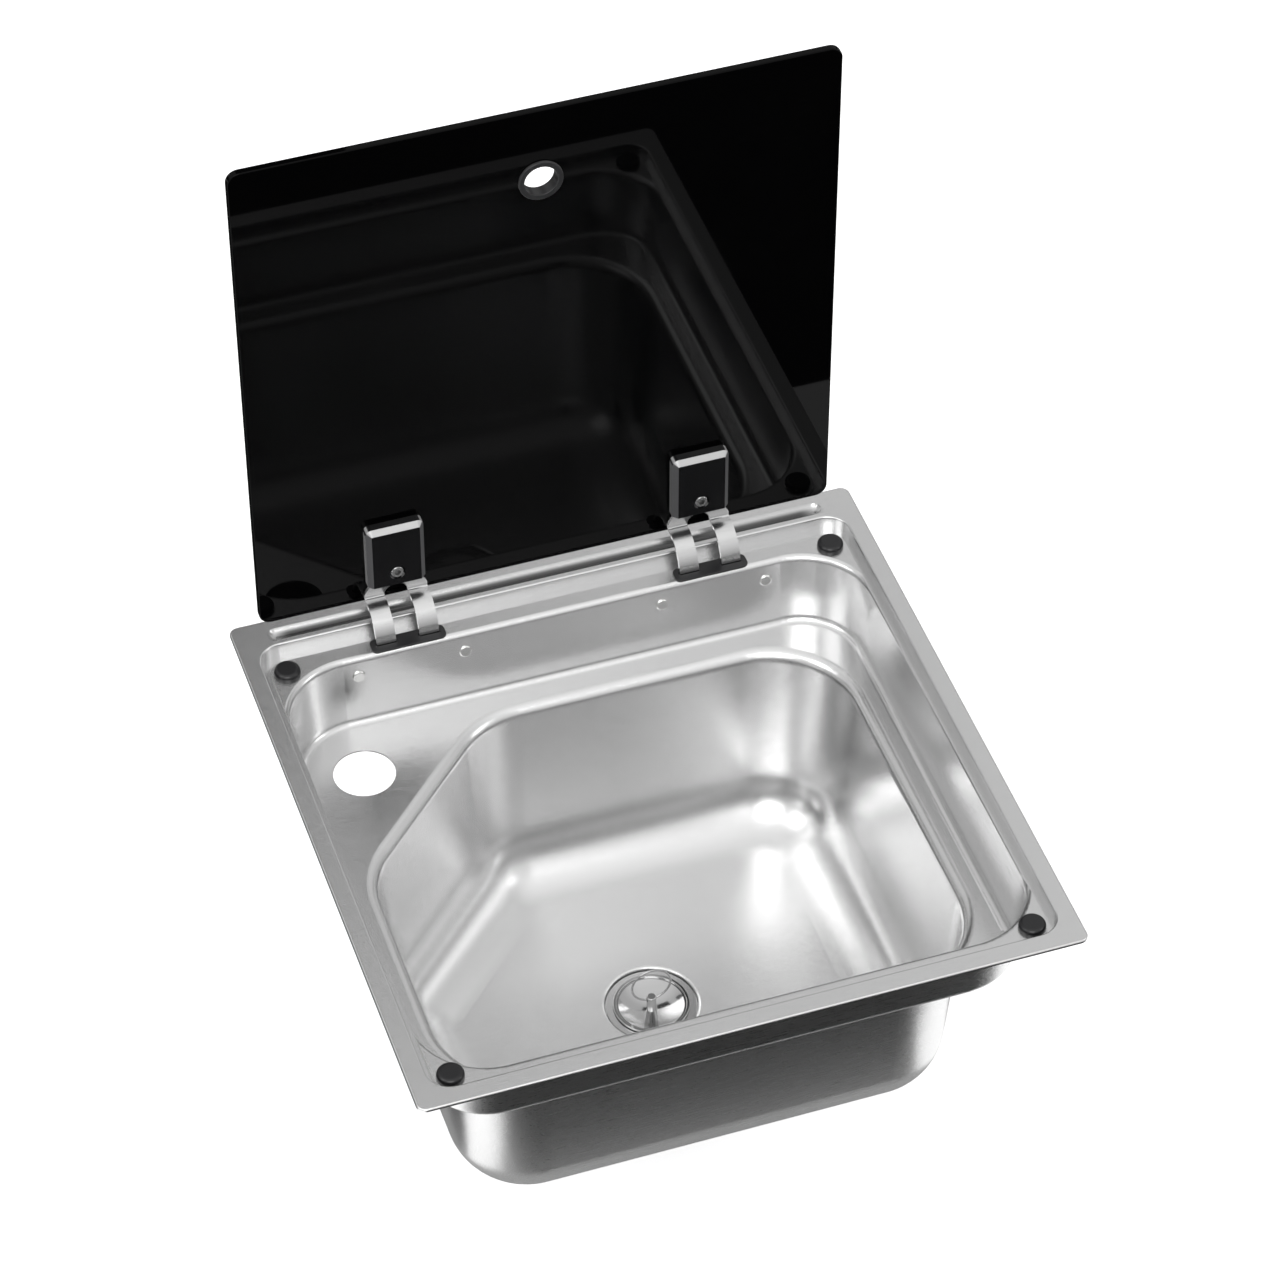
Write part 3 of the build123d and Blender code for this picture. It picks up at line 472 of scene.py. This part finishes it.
class StudioSettings(PropertyGroup):
    """Camera, floor and lamps."""

    camera_place: FloatVectorProperty(
        name="Camera",
        description="Where the camera stands",
        default=(-0.67040, -1.96765, 2.18428),
        subtype="TRANSLATION",
        unit="LENGTH",
        size=3,
    )
    lens: FloatProperty(
        name="Lens",
        description="Focal length on a 36 mm sensor",
        default=137.215,
        min=10.0,
        subtype="DISTANCE_CAMERA",
    )
    floor_drop: FloatProperty(
        name="Floor below the sink",
        description="Gap between the lowest piece and the floor",
        default=0.002,
        min=0.0,
        unit="LENGTH",
    )
    key_power: FloatProperty(
        name="Key lamp",
        description="Power of the lamp above the front left",
        default=42.0,
        min=0.0,
        unit="POWER",
    )
    left_power: FloatProperty(
        name="Left lamp",
        description="Power of the large lamp above the left",
        default=8.0,
        min=0.0,
        unit="POWER",
    )
    right_power: FloatProperty(
        name="Right lamp",
        description="Power of the strip lamp above the right",
        default=4.0,
        min=0.0,
        unit="POWER",
    )
    sky: FloatProperty(
        name="Sky",
        description="Brightness of the studio above the horizon",
        default=0.7,
        min=0.0,
    )


# ---------------------------------------------------------------- pieces
class SINK_OT_pressing(Operator):
    """Gives the pressed bowl its satin sheet"""

    bl_idname = "sink.pressing"
    bl_label = "Pressed bowl"

    def execute(self, context):
        finish = context.scene.sink_finish
        sheet = steel(
            "Satin sheet",
            finish.bowl_colour,
            polish=finish.bowl_polish,
            grain=PRESSING_GRAIN,
            lines=0.05,
            outside=(finish.outside_polish, 0.3),
            relief=finish.sheet_relief,
            # Paints the black lid's dark reflection along the front of the trough.
            trough=True,
        )
        dress(sheet, "sink_bowl")
        return {"FINISHED"}


class SINK_OT_lid(Operator):
    """Gives the lid its black glass and the finger hole its ring"""

    bl_idname = "sink.lid"
    bl_label = "Glass lid"

    def execute(self, context):
        finish = context.scene.sink_lid
        material, tree, shader = new_material("Black glass")
        clouds = tree.noise(tree.place(), scale=14.0, detail=4.0, roughness=0.6)
        smears = tree.remap(clouds, 0.45, 0.8)
        roughness = tree.mix_value(smears, GLASS_ROUGHNESS, SMEAR_ROUGHNESS)
        tree.feed(shader.inputs["Roughness"], roughness)
        colour = tree.mix_colour(smears, rgba(finish.glass_colour), SMEAR_COLOUR)
        tree.feed(shader.inputs["Base Color"], colour)
        tree.feed(shader.inputs["IOR"], finish.glass_index)
        dress(material, "lid_glass")
        # The steel at the lid's foot mirrors the studio, not the lid; the trough's band is painted.
        NODES["lid_glass"].visible_glossy = False
        grommet = moulding("Grommet", finish.plastic_colour, roughness=0.35)
        dress(grommet, "finger_hole_grommet")
        return {"FINISHED"}


class SINK_OT_hinge_covers(Operator):
    """Gives the hinge covers a glossy face and grained bevels, and the clamps their plastic"""

    bl_idname = "sink.hinge_covers"
    bl_label = "Hinge covers"

    def execute(self, context):
        finish = context.scene.sink_lid
        material, tree, shader = new_material("Hinge cover")
        normal = tree.split(tree.face_normal())
        sideways = tree.math("ABSOLUTE", normal["X"])
        forwards = tree.math("ABSOLUTE", normal["Y"])
        # Near 1 on faces square to an axis, lower on the bevels; underneath doesn't show.
        square = tree.math("MAXIMUM", forwards, tree.math("MAXIMUM", sideways, normal["Z"]))
        bevel = tree.math("SUBTRACT", 1.0, tree.remap(square, 0.8, 0.95))
        top = tree.math("MULTIPLY", bevel, tree.remap(normal["Z"], 0.3, 0.5))
        tree.feed(shader.inputs["Metallic"], tree.math("MULTIPLY", top, COVER_TOP_METALLIC))
        bevel_colour = tree.mix_colour(top, COVER_BEVEL, COVER_TOP_BEVEL)
        roughness = tree.mix_value(bevel, COVER_FACE_ROUGHNESS, COVER_BEVEL_ROUGHNESS)
        surface = group_node(
            tree,
            moulding_group,
            {
                "Colour": tree.mix_colour(bevel, COVER_FACE, bevel_colour),
                "Gloss roughness": roughness,
                "Grain size": 1800.0,
                "Dust": 0.02,
            },
        )
        tree.feed(shader.inputs["Base Color"], surface.outputs["Colour"])
        tree.feed(shader.inputs["Roughness"], surface.outputs["Roughness"])
        tree.feed(shader.inputs["IOR"], COVER_INDEX)
        relief_share = tree.mix_value(bevel, 0.1, 1.0)
        height = tree.math("MULTIPLY", surface.outputs["Height"], relief_share)
        bump(tree, shader, height, strength=0.5, distance=0.00012)
        dress(material, *both("hinge_cover"))
        clamp = moulding("Clamp plate", finish.plastic_colour, roughness=0.38)
        dress(clamp, *both("hinge_backplate"))
        return {"FINISHED"}


class SINK_OT_hinges(Operator):
    """Gives the leaves, brackets, pins and screws their metals"""

    bl_idname = "sink.hinges"
    bl_label = "Hinges"

    def execute(self, context):
        finish = context.scene.sink_finish
        leaf = steel("Hinge leaf", finish.hinge_colour, polish=0.22, grain=LEAF_GRAIN, lines=0.16)
        dress(leaf, *both("hinge_leaf"))
        zinc = steel(
            "Zinc plate", (0.6, 0.61, 0.62), polish=0.32, grain=even(300.0), lines=0.12, cloud=0.1
        )
        dress(zinc, *both("hinge_bracket", "hinge_pin", "hinge_spacer"))
        dress(zinc, "pin_clips", "disc_springs")
        rivet = steel("Rivet steel", (0.82, 0.82, 0.81), polish=0.12, grain=even(200.0), lines=0.05)
        dress(rivet, "bracket_rivets")
        black = steel("Black screw", (0.3, 0.3, 0.3), polish=0.22, grain=even(400.0), lines=0.1)
        dress(black, "hinge_screws")
        nylon = moulding("Nylon", (0.7, 0.69, 0.65), roughness=0.45)
        dress(nylon, "hinge_washers")
        return {"FINISHED"}


class SINK_OT_rubbers(Operator):
    """Gives the bumpers, seals and gaskets their rubber, and the liners their plastic"""

    bl_idname = "sink.rubbers"
    bl_label = "Rubbers and liners"

    def execute(self, context):
        bumper = moulding(
            "Bumper rubber", (0.006, 0.006, 0.007), roughness=0.3, grain=1600.0, dust=0.0
        )
        dress(bumper, "lid_bumpers")
        seal = moulding("Seal rubber", (0.016, 0.016, 0.017), roughness=0.55)
        dress(seal, "plug_seal", "waste_upper_seal", "waste_lower_seal", "tail_washer")
        dress(seal, *both("hinge_gasket", "hinge_pad"))
        foam = moulding(
            "Seal foam",
            (0.05, 0.05, 0.052),
            roughness=0.85,
            grain=900.0,
            dust=0.02,
            relief=0.0002,
        )
        dress(foam, "rim_seal")
        liner = moulding(
            "Liner plastic", (0.016, 0.016, 0.017), roughness=0.3, grain=2200.0, dust=0.02
        )
        dress(liner, *both("slot_escutcheon"), "glass_bushes")
        return {"FINISHED"}


class SINK_OT_waste(Operator):
    """Gives the plug its polish and the waste its steel and black plastic"""

    bl_idname = "sink.waste"
    bl_label = "Plug and waste"

    def execute(self, context):
        polished = steel(
            "Polished steel", (0.5, 0.5, 0.5), polish=0.1, grain=even(500.0), lines=0.02, cloud=0.02
        )
        dress(polished, "plug_dish", "plug_post", "plug_ring")
        satin = steel("Waste steel", (0.66, 0.66, 0.66), polish=0.2, grain=even(500.0), lines=0.04)
        dress(satin, "waste_flange", "waste_screw")
        plastic = moulding(
            "Waste plastic", (0.03, 0.03, 0.032), roughness=0.42, grain=1400.0, dust=0.05
        )
        dress(plastic, "waste_body", "waste_tail", "tail_nut")
        return {"FINISHED"}


class SINK_OT_studio(Operator):
    """Builds the camera, the pale floor, the cards and the lamps"""

    bl_idname = "sink.studio"
    bl_label = "Studio"

    def execute(self, context):
        studio = context.scene.sink_studio
        add_camera(studio)
        floor_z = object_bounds()[0][2] - studio.floor_drop
        add_floor(floor_z)
        for name, (x, y), size, shade in CARDS:
            add_card(name, (x, y, floor_z + CARD_LIFT), size, shade)
        add_lamps(studio)
        for name, centre, size, shade in FLAGS:
            flag = add_card(name, centre, size, shade)
            flag.rotation_euler = (math.radians(90), 0.0, 0.0)
        add_world(studio.sky)
        context.scene.view_settings.view_transform = "Standard"
        return {"FINISHED"}


def add_camera(studio):
    """Camera at the place and angle solved for the reference view."""
    data = bpy.data.cameras.new("camera")
    data.sensor_fit = "HORIZONTAL"
    data.sensor_width = 36.0
    data.lens = studio.lens
    data.clip_end = 50.0
    camera = bpy.data.objects.new("camera", data)
    axes = (Vector(CAMERA_RIGHT), -Vector(CAMERA_DOWN), -Vector(CAMERA_FORWARD))
    turn = Matrix(axes).transposed().to_4x4()
    camera.matrix_world = Matrix.Translation(studio.camera_place) @ turn
    bpy.context.scene.collection.objects.link(camera)
    bpy.context.scene.camera = camera


def add_panel_mesh(name, centre, size):
    """A flat rectangle, part of the stage."""
    x, y = size[0] / 2, size[1] / 2
    corners = [(-x, -y, 0), (x, -y, 0), (x, y, 0), (-x, y, 0)]
    mesh = bpy.data.meshes.new(name)
    mesh.from_pydata(corners, [], [(0, 1, 2, 3)])
    panel = bpy.data.objects.new(name, mesh)
    panel.location = centre
    bpy.context.scene.collection.objects.link(panel)
    panel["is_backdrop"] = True
    return panel


def matt(tree, shader, colour, roughness):
    """Makes a shader matt, without any sheen."""
    tree.feed(shader.inputs["Base Color"], colour)
    tree.feed(shader.inputs["Roughness"], roughness)
    tree.feed(shader.inputs["Specular IOR Level"], 0.0)


def add_floor(height):
    """Pale floor that shows white, and keeps the sink's shadow."""
    floor = add_panel_mesh("floor", (0.0, 0.0, height), FLOOR_SIZE)
    material, tree, shader = new_material("Studio floor")
    matt(tree, shader, FLOOR_COLOUR, roughness=0.9)
    path = tree.add("ShaderNodeLightPath").outputs
    seen = tree.math("MAXIMUM", path["Is Camera Ray"], path["Is Glossy Ray"])
    seen = tree.math("MAXIMUM", seen, path["Is Transmission Ray"])
    tree.feed(shader.inputs["Emission Color"], WHITE)
    tree.feed(shader.inputs["Emission Strength"], tree.math("MULTIPLY", seen, FLOOR_GLOW))
    floor.data.materials.append(material)


def add_card(name, centre, size, shade):
    """A dark card for the steel to mirror, which the camera doesn't see."""
    card = add_panel_mesh(name, centre, size)
    material, tree, shader = new_material(name)
    matt(tree, shader, (shade, shade, shade, 1.0), roughness=1.0)
    card.data.materials.append(material)
    card.visible_camera = False
    card.visible_shadow = False
    card.visible_diffuse = False
    return card


def add_lamp(name, place, size, power):
    """A soft rectangular lamp that faces the middle of the rim."""
    data = bpy.data.lights.new(name, "AREA")
    data.shape = "RECTANGLE"
    data.size, data.size_y = size
    data.energy = power
    lamp = bpy.data.objects.new(name, data)
    lamp.location = place
    lamp.rotation_euler = (-Vector(place)).to_track_quat("-Z", "Y").to_euler()
    bpy.context.scene.collection.objects.link(lamp)


def add_lamps(studio):
    """Soft lamps: one above the front left, and one above each side."""
    add_lamp("key_lamp", (-0.92, -2.52, 2.7), (2.2, 2.2), studio.key_power)
    add_lamp("left_lamp", (-1.7, -0.2, 1.7), (1.1, 1.3), studio.left_power)
    add_lamp("right_lamp", (1.9, -0.9, 1.1), (0.4, 1.3), studio.right_power)


def add_world(strength):
    """Studio walls and ceiling: brightest overhead, dimmer at the horizon and behind the sink."""
    world = bpy.data.worlds.new("studio")
    bpy.context.scene.world = world
    world.use_nodes = True
    tree = Tree(world.node_tree)
    sky = next(n for n in world.node_tree.nodes if n.type == "BACKGROUND")
    direction = tree.split(tree.add("ShaderNodeTexCoord").outputs["Generated"])
    walls = tree.remap(direction["Z"], -0.1, 0.7, HORIZON_SHADE, 1.0)
    overhead = tree.remap(direction["Z"], 0.72, 0.97, 0.0, OVERHEAD_EXTRA)
    front = tree.remap(direction["Y"], -0.65, 0.2, FRONT_GAIN, 1.0)
    shade = tree.math("MULTIPLY", tree.math("ADD", walls, overhead), front)
    tree.feed(sky.inputs["Color"], WHITE)
    tree.feed(sky.inputs["Strength"], tree.math("MULTIPLY", shade, strength))


OPERATORS = (
    SINK_OT_pressing,
    SINK_OT_lid,
    SINK_OT_hinge_covers,
    SINK_OT_hinges,
    SINK_OT_rubbers,
    SINK_OT_waste,
    SINK_OT_studio,
)


class SINK_PT_panel(Panel):
    """Settings and steps of the sink"""

    bl_idname = "SINK_PT_panel"
    bl_label = "Camper sink"
    bl_space_type = "VIEW_3D"
    bl_region_type = "UI"
    bl_category = "Sink"

    def draw(self, context):
        scene = context.scene
        for title, settings in (
            ("Steel", scene.sink_finish),
            ("Lid", scene.sink_lid),
            ("Studio", scene.sink_studio),
        ):
            box = self.layout.box()
            box.label(text=title)
            for name in settings.__annotations__:
                box.prop(settings, name)
        for step in OPERATORS:
            self.layout.operator(step.bl_idname)


CLASSES = (SinkFinish, LidFinish, StudioSettings, *OPERATORS, SINK_PT_panel)


def register():
    for cls in CLASSES:
        bpy.utils.register_class(cls)
    bpy.types.Scene.sink_finish = PointerProperty(type=SinkFinish)
    bpy.types.Scene.sink_lid = PointerProperty(type=LidFinish)
    bpy.types.Scene.sink_studio = PointerProperty(type=StudioSettings)


def unregister():
    del bpy.types.Scene.sink_studio
    del bpy.types.Scene.sink_lid
    del bpy.types.Scene.sink_finish
    for cls in reversed(CLASSES):
        bpy.utils.unregister_class(cls)


def main():
    """Registers the add-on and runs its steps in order."""
    register()
    bpy.ops.sink.pressing()
    bpy.ops.sink.lid()
    bpy.ops.sink.hinge_covers()
    bpy.ops.sink.hinges()
    bpy.ops.sink.rubbers()
    bpy.ops.sink.waste()
    bpy.ops.sink.studio()


if __name__ == "__main__":
    main()
